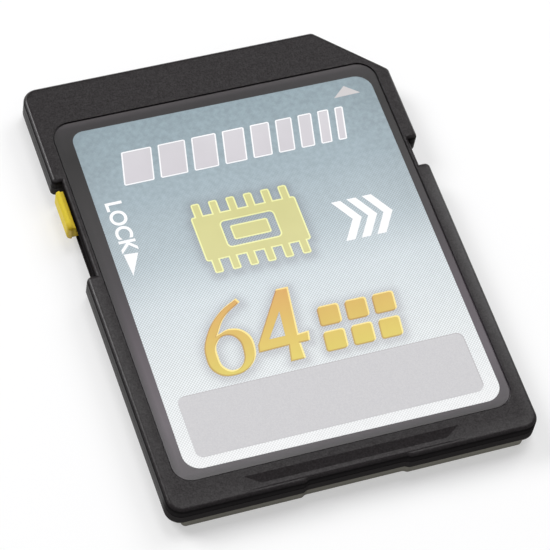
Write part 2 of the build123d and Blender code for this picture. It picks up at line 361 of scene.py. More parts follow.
def grain_group():
    """The grain of a mould: relief, roughness and flecks."""
    group, given, result = shader_group(
        "moulded_grain",
        [("Place", "Vector", None), ("Scale", "Float", 9000.0), ("Roughness", "Float", 0.45)],
        [("Height", "Float"), ("Roughness", "Float"), ("Fleck", "Float")],
    )
    fine_pits = noise(given["Place"], given["Scale"], detail=3.0)
    coarse_scale = math_node("MULTIPLY", given["Scale"], COARSE_SCALE)
    coarse_pits = noise(given["Place"], coarse_scale)
    swing = spread_node(coarse_pits, *NOISE_RANGE, -GRAIN_SWING, GRAIN_SWING)
    feed_all(
        result,
        Height=math_node("MULTIPLY_ADD", coarse_pits, COARSE_HEIGHT, fine_pits),
        Roughness=math_node("ADD", given["Roughness"], swing),
        Fleck=spread_node(fine_pits, *FLECK_RANGE),
    )
    return group


moulded_grain = grain_group()

# %% Handling smudges
SMUDGE_SCALE = 260.0
SMUDGE_RANGE = (0.42, 0.68)


def smudge_group():
    """Soft patches of grease: a veil from 0 to 1, and the roughness that it brings."""
    group, given, result = shader_group(
        "handling_smudges",
        [("Place", "Vector", None), ("Roughness", "Float", 0.35), ("Swing", "Float", 0.06)],
        [("Roughness", "Float"), ("Veil", "Float")],
    )
    veil = spread_node(noise(given["Place"], SMUDGE_SCALE, detail=4.0), *SMUDGE_RANGE)
    roughness = math_node("MULTIPLY_ADD", veil, given["Swing"], given["Roughness"])
    feed_all(result, Roughness=roughness, Veil=veil)
    return group


handling_smudges = smudge_group()

# %% [markdown]
# ## Walls and edges
# A moulding isn't equally shiny all over, and both shells wear in the same places. Vertex paint could
# say where, but the CAD meshes stay as they are. So a group works it out from the way a face looks and
# from where it lies. It tells walls from level faces, polished walls from dull ones, shiny rims,
# rubbed strips and how fresh the sheen still is. Reach is how far out a point lies, from 0 in the
# middle of the card to 1 at its edge. Each pair of values says where a mask starts and where it is
# full.

# %% Masks of the case
HALF_WIDTH = (cad_box[1][0] - cad_box[0][0]) / 2
HALF_LENGTH = (cad_box[1][1] - cad_box[0][1]) / 2
STEEP_FACE = (0.70, 0.45)
ROUNDED_EDGE = (0.94, 0.89)
POCKET_REACH = (0.945, 0.93)
POCKET_HEIGHT = (1.88 * MM, 1.90 * MM)
RIM_REACH = (0.955, 0.975)
STRIP_REACH = (0.92, 0.985)
SHINE_ALONG = (-11.0 * MM, 12.0 * MM)
REAR_WALL_ALONG = (-15.6 * MM, -14.4 * MM)
STRIP_ALONG = (5.0 * MM, 2.0 * MM)
END_ALONG = (-14.0 * MM, -8.0 * MM)
END_RUB = 0.35
PLAIN_SIDE_RUB = 0.5
FRESH_ALONG = (6.0 * MM, -8.0 * MM)
REAR_FRESHNESS = 0.75


def reach_masks(axes):
    """How far out a point lies to the side, and how far out it lies at all."""
    reaches = []
    for axis, half in (("X", HALF_WIDTH), ("Y", HALF_LENGTH)):
        distance = math_node("ABSOLUTE", axes[axis])
        reaches.append(math_node("DIVIDE", distance, half))
    return reaches[0], math_node("MAXIMUM", *reaches)


def walls_group():
    """Masks of walls, polish, shiny edges, rubbed strips and fresh sheen."""
    group, given, result = shader_group(
        "walls_and_edges",
        [("Place", "Vector", None), ("Facing", "Vector", None)],
        [(label, "Float") for label in ("Wall", "Polish", "Edge", "Rub", "Fresh")],
    )
    axes = axes_of(given["Place"])
    side_reach, reach = reach_masks(axes)
    level = math_node("ABSOLUTE", axes_of(given["Facing"])["Z"])
    in_pocket = product(spread_node(reach, *POCKET_REACH), spread_node(axes["Z"], *POCKET_HEIGHT))
    out_of_pocket = math_node("SUBTRACT", 1.0, in_pocket)
    outer_side = spread_node(side_reach, *RIM_REACH)
    rim = spread_node(reach, *RIM_REACH)
    keyed_side = spread_node(axes["X"], -HALF_WIDTH, HALF_WIDTH, PLAIN_SIDE_RUB, 1.0)
    strip = product(
        spread_node(reach, *STRIP_REACH), spread_node(axes["Y"], *STRIP_ALONG),
        spread_node(axes["Y"], *END_ALONG, END_RUB, 1.0), keyed_side,
    )
    off_the_rear = spread_node(axes["Y"], *REAR_WALL_ALONG)
    far_part = spread_node(axes["Y"], *SHINE_ALONG)
    feed_all(
        result,
        Wall=product(spread_node(level, *STEEP_FACE), out_of_pocket),
        Polish=product(outer_side, off_the_rear),
        Edge=product(spread_node(level, *ROUNDED_EDGE), rim, far_part),
        Rub=strip,
        Fresh=spread_node(axes["Y"], *FRESH_ALONG, 1.0, REAR_FRESHNESS),
    )
    return group


walls_and_edges = walls_group()

# %% [markdown]
# ## Tones and dots of the label
# The label fades from slate grey at the far end to white at the near end. The dark film around it
# changes tone along the card too: partly its print, and partly painted sheen that grows towards the
# near end, with a painted highlight on its far rim. A colour ramp along Y does each, with a few stops.
# The press prints the fade through a screen of dots. An image of dots would blur when seen close, so
# the dots are the sum of two waves that run along the two diagonals.

# %% Label tone


def seen_colour(red, green, blue):
    """A colour as a picture shows it, 0 to 255, turned into the linear colour that shaders use."""
    linear = []
    for value in (red, green, blue):
        part = value / 255
        linear.append(part / 12.92 if part <= 0.04045 else ((part + 0.055) / 1.055) ** 2.4)
    return (*linear, 1.0)


def fade_group(name, stops):
    """A node group that gives a colour by the place along the card, from stops in millimetres of y."""
    group, given, result = shader_group(name, [("Place", "Vector", None)], [("Colour", "Color")])
    near = stops[0][0]
    far = stops[-1][0]
    ramp = group.nodes.new("ShaderNodeValToRGB")
    along = axes_of(given["Place"])["Y"]
    feed(ramp.inputs["Fac"], spread_node(along, near * MM, far * MM))
    elements = ramp.color_ramp.elements
    while len(elements) < len(stops):
        elements.new(0.5)
    for element, (place, colour) in zip(elements, stops):
        element.position = (place - near) / (far - near)
    for element, (place, colour) in zip(elements, stops):
        element.color = seen_colour(*colour)
    feed_all(result, Colour=ramp.outputs["Color"])
    return group


label_tone = fade_group("label_tone", [
    (-13.5, (239, 240, 241)),
    (-7.5, (232, 237, 239)),
    (-2.0, (219, 228, 233)),
    (1.0, (193, 206, 213)),
    (6.0, (159, 176, 185)),
    (12.1, (140, 159, 168)),
])
# Film tone: partly print, partly painted sheen towards the near end, and a painted highlight on the far
# rim.
film_tone_and_sheen = fade_group("film_tone_and_sheen", [
    (-14.1, (59, 54, 58)),
    (-10.0, (85, 77, 84)),
    (-5.0, (75, 66, 73)),
    (0.0, (50, 45, 49)),
    (5.0, (41, 38, 39)),
    (10.0, (28, 26, 26)),
    (11.8, (40, 38, 39)),
    (12.4, (47, 44, 46)),
    (12.85, (72, 68, 70)),
])

# %% Dot screen
SCREEN_PITCH = 0.1455 * MM
RISING_SHARE = 1.9
FALLING_SHARE = 1.7
SCREEN_SWING = 1.4


def screen_group():
    """Round dots from 0 to 1, in rows along the two diagonals."""
    group, given, result = shader_group("dot_screen", [("Place", "Vector", None)], [("Dots", "Float")])
    axes = axes_of(given["Place"])
    turn = 2 * math.pi / SCREEN_PITCH * math.sqrt(0.5)
    waves = []
    for operation, share in (("ADD", FALLING_SHARE), ("SUBTRACT", RISING_SHARE)):
        diagonal = math_node(operation, axes["X"], axes["Y"])
        wave = math_node("COSINE", math_node("MULTIPLY", diagonal, turn))
        waves.append(math_node("MULTIPLY", wave, share))
    both_waves = math_node("ADD", *waves)
    feed_all(result, Dots=spread_node(both_waves, -SCREEN_SWING, SCREEN_SWING))
    return group


dot_screen = screen_group()

# %% [markdown]
# ## Case plastic
# The shells are black filled plastic. Their level faces carry the grain of the mould, with a soft and
# slightly mottled sheen. A grained wall would drag in the mould, so all walls but those of the shallow
# label pocket are smooth, which looks blacker; their colour is also painted darker than the grain, as
# painted shade for walls turned away from the lamps, such as the end wall and the notches. Sockets
# polish the two long sides, and the walls of the notches and of the rear end stay dull. The rim shines
# most at the end that is pushed into sockets, and fingers rub the strips behind the notches, most on
# the keyed side. Each shell is one piece, so one material does all this with the masks above. The
# sheen is a coat, whose weight can change.

# %% Case plastic
PIT_COLOUR = seen_colour(31, 28, 29)
FLECK_COLOUR = seen_colour(40, 36, 38)
# Walls: smooth black, painted darker than the grain as painted shade on walls turned from the lamps.
WALL_COLOUR = seen_colour(20, 18, 19)
CASE_GRAIN = 9000.0
GRAIN_ROUGHNESS = 0.40
GRAIN_DEPTH = 0.03 * MM
WALL_ROUGHNESS = 0.85
POLISHED_ROUGHNESS = 0.22
SMUDGE_SWING = 0.05
PIT_SHEEN = 0.24
FLECK_SHEEN = 0.37
EDGE_SHEEN = 0.75
RUB_SHEEN = 0.55
SHEEN_ROUGHNESS = 0.38
SHEEN_MOTTLE = 5000.0
MOTTLE_SWING = 0.3
CASE_SPECULAR = 0.02


def case_sheen(place, grain, form):
    """The weight of the coat: flecked and mottled on level faces, more on rubbed strips and edges."""
    grain_sheen = spread_node(grain["Fleck"], 0.0, 1.0, PIT_SHEEN, FLECK_SHEEN)
    blotches = noise(place, SHEEN_MOTTLE)
    mottle = spread_node(blotches, *NOISE_RANGE, 1 - MOTTLE_SWING, 1 + MOTTLE_SWING)
    sheen = product(grain_sheen, form["Fresh"], mottle)
    rubbed = math_node("MULTIPLY_ADD", form["Rub"], RUB_SHEEN, sheen)
    return math_node("MULTIPLY_ADD", form["Edge"], EDGE_SHEEN, rubbed)


def case_finish(name, wall_colour):
    """Black plastic: grained on its level faces, smooth on its walls and rubbed on its edges."""
    material = new_material(name)
    shader, place = open_material(material)
    grain = use_group(moulded_grain, place, Scale=CASE_GRAIN, Roughness=GRAIN_ROUGHNESS)
    smudges = use_group(handling_smudges, place, Roughness=grain["Roughness"], Swing=SMUDGE_SWING)
    facing = place.node.outputs["Normal"]
    form = use_group(walls_and_edges, place, Facing=facing)
    level = math_node("SUBTRACT", 1.0, form["Wall"])
    grained = mix_colours("MIX", grain["Fleck"], PIT_COLOUR, FLECK_COLOUR)
    dull = math_node("MULTIPLY", level, smudges["Roughness"])
    smooth = spread_node(form["Polish"], 0.0, 1.0, WALL_ROUGHNESS, POLISHED_ROUGHNESS)
    feed_all(
        shader,
        Base_Color=mix_colours("MIX", form["Wall"], grained, wall_colour),
        Roughness=math_node("MULTIPLY_ADD", form["Wall"], smooth, dull),
        Coat_Weight=product(level, case_sheen(place, grain, form)),
        Coat_Roughness=SHEEN_ROUGHNESS,
        Specular_IOR_Level=CASE_SPECULAR,
    )
    add_relief(shader, math_node("MULTIPLY", grain["Height"], level), GRAIN_DEPTH)
    return material


case_black = case_finish("case_black", WALL_COLOUR)

# %% [markdown]
# ## Belly
# The end of the belly, the thick middle of the lower shell, gets a greyer band: painted light that
# stands for the glow it catches from the bright table just in front of it, brighter towards the keyed
# side. The lower shell is one piece, so its material changes from one finish to the other at the
# belly's height and near the card's end. Its walls are a shade paler than those of the upper shell.

# %% Belly
LOWER_WALL_COLOUR = seen_colour(37, 35, 35)
# Painted light: the greyer band on the belly's rear end, where the table lights it.
BAND_LIGHT_COLOUR = seen_colour(112, 110, 102)
BAND_ROUGHNESS = 0.2
PLAIN_SIDE_BAND_LIGHT = 0.8
BELLY_TOP = 0.745 * MM
BELLY_FADE = 0.02 * MM
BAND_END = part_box("lower_shell")[0].y + 0.28 * MM
BAND_FADE = 0.06 * MM


def painted(shader, name):
    """What already feeds a socket of a shader."""
    return shader.inputs[name].links[0].from_socket


def belly_finish():
    """The case's black, and a greyer painted band of light on the rear end of the belly."""
    material = case_finish("belly_black", LOWER_WALL_COLOUR)
    shader, place = open_material(material)
    axes = axes_of(place)
    low = spread_node(axes["Z"], BELLY_TOP + BELLY_FADE, BELLY_TOP)
    near = spread_node(axes["Y"], BAND_END + BAND_FADE, BAND_END)
    keyed_side = spread_node(axes["X"], -HALF_WIDTH, HALF_WIDTH, PLAIN_SIDE_BAND_LIGHT, 1.0)
    # Painted light band, stronger towards the keyed side.
    lit_band = product(low, near, keyed_side)
    colour = mix_colours("MIX", lit_band, painted(shader, "Base Color"), BAND_LIGHT_COLOUR)
    rough = math_node("MULTIPLY_ADD", lit_band, BAND_ROUGHNESS, painted(shader, "Roughness"))
    feed_all(shader, Base_Color=colour, Roughness=rough)
    return material


belly_black = belly_finish()

# %% [markdown]
# ## Slider and chips
# The slider is a smoother moulding in yellow, and the chips are cast in a dull resin. Both use the
# grain group with their own scale and depth. The grain goes into the relief, so it shows only where
# light rakes. The slider's near end, which faces away from the lamps, and its rounded inner side get
# painted shade: two ramps say where, and multiply the yellow by a brown.

# %% Slider and chips
# Painted shade on the slider: the brown that darkens its near end and inner side.
SLIDER_SHADE_COLOUR = (0.60, 0.53, 0.30, 1.0)
SLIDER_SHADE_LENGTH = 0.6 * MM
SLIDER_SHADE_STARTS = 0.30 * MM
SLIDER_SHADE_IS_FULL = 0.60 * MM


def moulded_plastic(name, colour, fleck_colour, scale, roughness, depth, specular):
    """A moulded plastic: two close shades, a pitted relief and a little life in the gloss."""
    material = new_material(name)
    shader, place = open_material(material)
    grain = use_group(moulded_grain, place, Scale=scale, Roughness=roughness)
    smudges = use_group(handling_smudges, place, Roughness=grain["Roughness"], Swing=SMUDGE_SWING)
    shade = mix_colours("MIX", grain["Fleck"], seen_colour(*colour), seen_colour(*fleck_colour))
    feed_all(shader, Base_Color=shade, Roughness=smudges["Roughness"], Specular_IOR_Level=specular)
    add_relief(shader, grain["Height"], depth)
    return material


def slider_finish():
    """Smooth yellow plastic, with painted shade at its near end and along its rounded inner side."""
    material = moulded_plastic(
        "slider_yellow", (212, 190, 56), (206, 183, 50),
        scale=12000.0, roughness=0.42, depth=0.002 * MM, specular=0.08,
    )
    shader, place = open_material(material)
    axes = axes_of(place)
    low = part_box("lock_slider")[0]
    near_end = spread_node(axes["Y"], low.y, low.y + SLIDER_SHADE_LENGTH, 1.0, 0.0)
    inner_side = spread_node(axes["X"], low.x + SLIDER_SHADE_STARTS, low.x + SLIDER_SHADE_IS_FULL)
    # Painted shade on the slider's near end and rounded inner side.
    slider_shade = math_node("MAXIMUM", near_end, inner_side)
    colour = mix_colours("MULTIPLY", slider_shade, painted(shader, "Base Color"), SLIDER_SHADE_COLOUR)
    feed(shader.inputs["Base Color"], colour)
    return material


slider_yellow = slider_finish()
chip_resin = moulded_plastic(
    "chip_resin", (34, 34, 36), (44, 44, 46),
    scale=16000.0, roughness=0.55, depth=0.004 * MM, specular=0.4,
)

# %% [markdown]
# ## Label film
# The label is a dark film with a satin lacquer. Its edge gets painted shade on the left and the near
# side, and its far rim a painted highlight. The film's tone and painted sheen along the card are a
# group of its own, and two distances from the film's corner give the painted edge shade.

# %% Film
# Painted shade along the film's left and near edge.
FILM_EDGE_SHADE_COLOUR = seen_colour(30, 28, 29)
FILM_EDGE_SHADE_WIDTH = 0.5 * MM
FILM_EDGE_SHADE_DEPTH = 0.85
film_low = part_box("label")[0]
film_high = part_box("label")[1]


def satin(shader, place, roughness, swing, specular):
    """The lacquer that covers the film and the inks alike, and the veil of smudges on it."""
    smudges = use_group(handling_smudges, place, Roughness=roughness, Swing=swing)
    feed_all(shader, Roughness=smudges["Roughness"], Specular_IOR_Level=specular)
    return smudges["Veil"]


def film_finish():
    """Dark film with a satin lacquer: painted sheen towards the near end, painted shade on its left and
    near edge.
    """
    material = new_material("label_film")
    shader, place = open_material(material)
    satin(shader, place, roughness=0.25, swing=0.015, specular=0.3)
    axes = axes_of(place)
    left_gap = math_node("SUBTRACT", axes["X"], film_low.x)
    near_gap = math_node("SUBTRACT", axes["Y"], film_low.y)
    gap = math_node("MINIMUM", left_gap, near_gap)
    # Painted shade along the film's left and near edge.
    film_edge_shade = spread_node(gap, 0.0, FILM_EDGE_SHADE_WIDTH, FILM_EDGE_SHADE_DEPTH, 0.0)
    tone = use_group(film_tone_and_sheen, place)["Colour"]
    feed(shader.inputs["Base Color"], mix_colours("MIX", film_edge_shade, tone, FILM_EDGE_SHADE_COLOUR))
    return material


label_film = film_finish()

# %% [markdown]
# ## Field
# On the film lies the printed field, in the label's tones. Its dot screen is faint in the dark half,
# full in the middle and weaker again at the near edge. The dark half is a little mottled, as thin ink
# on film is, and darker at its sides. A soft grey shade lies around the pictogram and the figures. A
# texture can't know where they are, so the shade is worked out below, from how far each point of the
# field lies from them, and kept as an attribute of the field's mesh, which the material reads here.

# %% Field
SOFT_SHADE = "soft_shade"
SHADE_COLOUR = seen_colour(224, 222, 224)
BLACK = (0.0, 0.0, 0.0, 1.0)
SCREEN_ALONG = (6.5 * MM, 2.0 * MM)
FAINT_SCREEN = 0.03
FULL_SCREEN = 0.32
EDGE_ALONG = (-13.0 * MM, -7.0 * MM)
EDGE_SCREEN = 0.6
INK_MOTTLE = 3300.0
MOTTLE_ALONG = (8.0 * MM, 1.0 * MM)
FAR_MOTTLE = 0.18
NEAR_MOTTLE = 0.04
SIDES_ACROSS = (7.5 * MM, 10.0 * MM)
SIDES_ALONG = (-7.0 * MM, 3.0 * MM)
SIDE_DEPTH = 0.09


def darkened(amount, colour):
    """A colour with a share of black printed over it."""
    return mix_colours("MULTIPLY", amount, colour, BLACK)


def field_finish():
    """The printed field: tone, soft shade, dot screen, mottle and darker sides under the lacquer."""
    material = new_material("print_field")
    shader, place = open_material(material)
    satin(shader, place, roughness=0.33, swing=0.05, specular=0.4)
    axes = axes_of(place)
    tone = use_group(label_tone, place)["Colour"]
    soft = place.id_data.nodes.new("ShaderNodeAttribute")
    soft.attribute_name = SOFT_SHADE
    shaded = mix_colours("MULTIPLY", soft.outputs["Fac"], tone, SHADE_COLOUR)
    depth = spread_node(axes["Y"], *SCREEN_ALONG, FAINT_SCREEN, FULL_SCREEN)
    eased = spread_node(axes["Y"], *EDGE_ALONG, EDGE_SCREEN, 1.0)
    dots = use_group(dot_screen, place)["Dots"]
    screened = darkened(product(dots, depth, eased), shaded)
    blotches = spread_node(noise(place, INK_MOTTLE), *NOISE_RANGE)
    blotch_depth = spread_node(axes["Y"], *MOTTLE_ALONG, FAR_MOTTLE, NEAR_MOTTLE)
    mottled = darkened(product(blotches, blotch_depth), screened)
    sideways = math_node("ABSOLUTE", axes["X"])
    sides = spread_node(sideways, *SIDES_ACROSS, 0.0, SIDE_DEPTH)
    side_shade = product(sides, spread_node(axes["Y"], *SIDES_ALONG))
    feed(shader.inputs["Base Color"], darkened(side_shade, mottled))
    return material


print_field = field_finish()

# %% [markdown]
# ## Inks
# Every ink is one function with its own two colours, because printed colour drifts a little along a
# label, and the gold and the khaki plainly run from one shade to another. The lacquer lies over them
# all. Only the writing panel has none: its chalky ink has to take a pen, so it is made by itself.

# %% Inks
FIGURE_ALONG = (-7.7, -2.6)
PICTOGRAM_ALONG = (-0.6, 5.0)
PLAIN_INK = 0.40
GLOSSY_INK = 0.36
TOUCHED = (0.96, 0.96, 0.96, 1.0)


def ink_finish(name, near_colour, far_colour, along, roughness):
    """An ink that drifts from one colour to another between two places along y, in millimetres."""
    material = new_material(name)
    shader, place = open_material(material)
    veil = satin(shader, place, roughness, swing=0.05, specular=0.4)
    near, far = along
    drift = spread_node(axes_of(place)["Y"], near * MM, far * MM)
    shade = mix_colours("MIX", drift, seen_colour(*near_colour), seen_colour(*far_colour))
    feed(shader.inputs["Base Color"], mix_colours("MULTIPLY", veil, shade, TOUCHED))
    return material


white_ink = ink_finish("white_ink", (250, 250, 251), (246, 246, 248), (-14.0, 13.0), PLAIN_INK)
grey_ink = ink_finish("grey_ink", (203, 199, 200), (200, 196, 197), (10.0, 12.0), PLAIN_INK)
shade_ink = ink_finish("shade_ink", (184, 181, 184), (182, 179, 182), (-13.0, -8.0), PLAIN_INK)
pale_ink = ink_finish("pale_ink", (201, 197, 203), (206, 203, 208), (7.0, 10.0), PLAIN_INK)
gold_ink = ink_finish("gold_ink", (216, 197, 88), (211, 161, 79), FIGURE_ALONG, GLOSSY_INK)
gold_edge = ink_finish("gold_edge", (247, 231, 148), (246, 219, 136), FIGURE_ALONG, GLOSSY_INK)
gold_shade = ink_finish("gold_shade", (192, 162, 80), (186, 132, 74), FIGURE_ALONG, GLOSSY_INK)
khaki_ink = ink_finish("khaki_ink", (206, 202, 138), (206, 202, 135), PICTOGRAM_ALONG, GLOSSY_INK)
khaki_edge = ink_finish("khaki_edge", (238, 238, 172), (236, 236, 164), PICTOGRAM_ALONG, GLOSSY_INK)

# %% Panel ink
PANEL_COLOUR = seen_colour(199, 198, 201)
PANEL_FLECK = seen_colour(207, 206, 208)
PANEL_GRAIN = 14000.0
PANEL_ROUGHNESS = 0.72
PANEL_SPECULAR = 0.2
PANEL_RELIEF = 0.002 * MM
PANEL_STRENGTH = 0.6


def panel_finish():
    """The writing panel: an unlacquered, chalky ink that takes a pen."""
    material = new_material("panel_ink")
    shader, place = open_material(material)
    chalk = use_group(moulded_grain, place, Scale=PANEL_GRAIN, Roughness=PANEL_ROUGHNESS)
    shade = mix_colours("MIX", chalk["Fleck"], PANEL_COLOUR, PANEL_FLECK)
    feed_all(shader, Base_Color=shade, Roughness=chalk["Roughness"], Specular_IOR_Level=PANEL_SPECULAR)
    add_relief(shader, chalk["Height"], PANEL_RELIEF, PANEL_STRENGTH)
    return material


panel_ink = panel_finish()

# %% [markdown]
# ## Board, contacts and small parts
# On the underside the gold contacts lie in open slots, and the green board shows between them.
# Contacts are wiped lengthwise each time a card goes into its socket, so the gold has fine marks
# along Y: a noise that is stretched that way. The board's glass weave shows through its green mask as
# a faint relief, the product of two waves. The small ceramic parts are inside and get plain finishes.

# %% Contacts
WIPE_STRETCH = (1.0, 0.06, 1.0)
WIPE_SCALE = 14000.0
WIPE_ROUGHNESS = (0.18, 0.34)
WIPE_RELIEF = 0.0006 * MM
WIPE_STRENGTH = 0.5
GOLD = (0.90, 0.66, 0.27, 1.0)
DULL_GOLD = (0.82, 0.57, 0.22, 1.0)


def contact_finish():
    """Gold plate with fine lengthwise wipe marks."""
    material = new_material("contact_gold")
    shader, place = open_material(material)
    stretch = place.id_data.nodes.new("ShaderNodeMapping")
    feed_all(stretch, Vector=place, Scale=WIPE_STRETCH)
    marks = noise(stretch.outputs["Vector"], WIPE_SCALE, detail=3.0)
    veil = use_group(handling_smudges, place)["Veil"]
    feed_all(
        shader,
        Base_Color=mix_colours("MIX", veil, GOLD, DULL_GOLD),
        Roughness=spread_node(marks, *NOISE_RANGE, *WIPE_ROUGHNESS),
        Metallic=1.0,
    )
    add_relief(shader, marks, WIPE_RELIEF, WIPE_STRENGTH)
    return material


contact_gold = contact_finish()

# %% Board laminate
WEAVE_PITCH = 0.5 * MM
WEAVE_RELIEF = 0.004 * MM
WEAVE_STRENGTH = 0.4
DARK_GREEN = (0.012, 0.105, 0.045, 1.0)
LIGHT_GREEN = (0.020, 0.140, 0.060, 1.0)


def laminate_finish():
    """Green solder mask over a woven glass board, whose weave shows as a faint relief."""
    material = new_material("board_laminate")
    shader, place = open_material(material)
    axes = axes_of(place)
    turn = 2 * math.pi / WEAVE_PITCH
    warp = math_node("SINE", math_node("MULTIPLY", axes["X"], turn))
    weft = math_node("SINE", math_node("MULTIPLY", axes["Y"], turn))
    weave = product(warp, weft)
    tint = spread_node(weave, -1.0, 1.0)
    feed(shader.inputs["Base Color"], mix_colours("MIX", tint, DARK_GREEN, LIGHT_GREEN))
    satin(shader, place, roughness=0.3, swing=0.08, specular=0.5)
    add_relief(shader, weave, WEAVE_RELIEF, WEAVE_STRENGTH)
    return material


board_laminate = laminate_finish()

# %% Ceramic parts
CERAMIC_GRAIN = 20000.0


def ceramic_finish(name, colour, fleck_colour, roughness):
    """Fired ceramic with fine flecks."""
    material = new_material(name)
    shader, place = open_material(material)
    grain = use_group(moulded_grain, place, Scale=CERAMIC_GRAIN, Roughness=roughness)
    shade = mix_colours("MIX", grain["Fleck"], seen_colour(*colour), seen_colour(*fleck_colour))
    feed_all(shader, Base_Color=shade, Roughness=grain["Roughness"])
    return material


capacitor_tan = ceramic_finish("capacitor_tan", (178, 148, 112), (190, 162, 126), roughness=0.5)
resistor_black = ceramic_finish("resistor_black", (36, 36, 40), (46, 46, 50), roughness=0.35)

# %% [markdown]
# ## Dressing the CAD pieces
# The record says which material slot each CAD piece belongs to. A loop puts this lesson's finishes in
# those slots, so no piece can be forgotten. The lower shell then gets the finish with the painted
# light band on its belly.

# %% Dress the CAD nodes
FINISHES = {
    "case_black": case_black,
    "slider_yellow": slider_yellow,
    "label_film": label_film,
    "board_laminate": board_laminate,
    "contact_gold": contact_gold,
    "chip_resin": chip_resin,
    "capacitor_tan": capacitor_tan,
    "resistor_black": resistor_black,
}
for subpart in frame["record"]["subparts"]:
    node = frame["nodes"][subpart["node"]]
    if not node.material_slots:
        node.data.materials.append(None)
    for slot in node.material_slots:
        slot.material = FINISHES[subpart["material_slot"]]
frame["nodes"]["lower_shell"].material_slots[0].material = belly_black

# %% [markdown]
# ## Ink plates
# Ink on a film is a layer a few thousandths of a millimetre thick. It could be painted into the film's
# material, but then it would have no edge of its own. So each printed shape is drawn as a flat filled
# curve, thickened to the height of the ink and turned into a closed mesh. A curve does the hard parts
# for us: round corners, holes, and `offset`, which grows or shrinks an outline evenly, so that a
# keyline and the fill inside it share one outline. Outlines are in millimetres.

# %% Rounded outlines


def rounded(corners, steps=6):
    """Outline of a polygon whose corners (x, y, radius) are rounded by arcs."""
    outline = []
    for index, (x, y, radius) in enumerate(corners):
        corner = Vector((x, y))
        before = (Vector(corners[index - 1][:2]) - corner).normalized()
        after = (Vector(corners[(index + 1) % len(corners)][:2]) - corner).normalized()
        half = before.angle(after) / 2
        if radius == 0:
            outline.append((x, y))
            continue
        reach = radius / math.tan(half)
        middle = corner + (before + after).normalized() * radius / math.sin(half)
        start = corner + before * reach - middle
        sweep = (corner + after * reach - middle).angle_signed(start)
        for step in range(steps + 1):
            turn = Matrix.Rotation(sweep * step / steps, 2)
            outline.append(tuple(middle + turn @ start))
    return outline


def rounded_box(left, low, right, high, radius, steps=6):
    """Outline of an upright rectangle with rounded corners."""
    corners = ((left, low), (right, low), (right, high), (left, high))
    return rounded([(x, y, radius) for x, y in corners], steps)


def winding(outline):
    """Twice the signed area: positive for a path that runs anticlockwise."""
    nexts = outline[1:] + outline[:1]
    return sum(a[0] * b[1] - b[0] * a[1] for a, b in zip(outline, nexts))


# %% Outlines to plates
INK = 0.004 * MM
WELD_DISTANCE = INK / 20
FILM_TOP = film_high.z
# The printed field is level 1, and every pass over it lies one level higher.
FIRST_PASS = 2
SECOND_PASS = 3
THIRD_PASS = 4


def add_outline(curve, outline, hole):
    """Adds one closed path to a flat curve; points marked "s" are smooth and the rest are corners."""
    forwards = winding(outline) > 0
    path = outline if forwards == hole else outline[::-1]
    spline = curve.splines.new("BEZIER")
    spline.bezier_points.add(len(path) - 1)
    spline.use_cyclic_u = True
    for point, spot in zip(spline.bezier_points, path):
        point.co = (spot[0] * MM, spot[1] * MM, 0)
        kind = "AUTO" if len(spot) > 2 else "VECTOR"
        point.handle_left_type = kind
        point.handle_right_type = kind


def curve_to_plate(name, curve, level, material, placing):
    """Turns a filled flat curve into a welded mesh plate that rides on the card."""
    drawn = bpy.data.objects.new(name + "_drawn", curve)
    scene.collection.objects.link(drawn)
    shape = bpy.context.evaluated_depsgraph_get()
    mesh = bpy.data.meshes.new_from_object(drawn.evaluated_get(shape))
    bpy.data.objects.remove(drawn)
    mesh.name = name
    middle = FILM_TOP + INK * (level - 0.5)
    mesh.transform(Matrix.Translation((0, 0, middle)) @ placing)
    welded = bmesh.new()
    welded.from_mesh(mesh)
    bmesh.ops.remove_doubles(welded, verts=welded.verts, dist=WELD_DISTANCE)
    bmesh.ops.recalc_face_normals(welded, faces=welded.faces)
    welded.to_mesh(mesh)
    open_edges = sum(1 for edge in welded.edges if len(edge.link_faces) != 2)
    welded.free()
    mesh.materials.clear()
    mesh.materials.append(material)
    plate = bpy.data.objects.new(name, mesh)
    scene.collection.objects.link(plate)
    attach(plate, "card")
    print(name, "faces", len(mesh.polygons), "open edges", open_edges)
    return plate


def ink_plate(name, outlines, level, material, holes=(), spread=0.0, shift=(0.0, 0.0)):
    """A closed plate of ink on the given level above the film, grown by `spread` millimetres."""
    curve = bpy.data.curves.new(name, "CURVE")
    curve.dimensions = "2D"
    curve.fill_mode = "BOTH"
    curve.resolution_u = 10
    curve.offset = spread * MM
    curve.extrude = INK / 2
    for outline in outlines:
        add_outline(curve, outline, hole=False)
    for outline in holes:
        add_outline(curve, outline, hole=True)
    placing = Matrix.Translation((shift[0] * MM, shift[1] * MM, 0))
    return curve_to_plate(name, curve, level, material, placing)


# %% [markdown]
# ## Adhesive
# The film lies in a pocket that is a little larger than itself. The adhesive under it is pressed out
# into that gap and closes it just below the film's bevelled edge, so no black slit shows around the
# film. It is the same kind of plate: the pocket's outline with the film's outline as a hole.

# %% Adhesive bead
FILM_GAP = 0.04
FILM_RADIUS = 1.25
FILM_STEPS = 12
BEAD_LEVEL = -9


def film_outline(growth):
    """The film's rounded outline, grown by a margin."""
    left = film_low.x / MM - growth
    low = film_low.y / MM - growth
    right = film_high.x / MM + growth
    high = film_high.y / MM + growth
    return rounded_box(left, low, right, high, FILM_RADIUS + growth, FILM_STEPS)


pocket_outline = film_outline(FILM_GAP)
ink_plate("film_adhesive", [pocket_outline], BEAD_LEVEL, label_film, holes=[film_outline(0.0)])

# %% [markdown]
# ## Writing panel and pale marks
# The panel is a chalky grey field to write on, with a thin darker line along its far and right edges,
# where its under-print lies out of register. The pale marks are the ones that any card of this kind
# needs: a triangle that says which end goes in first, and the word and arrow beside the slider. The
# word is a text curve, stretched to its printed size and turned to read along the edge.

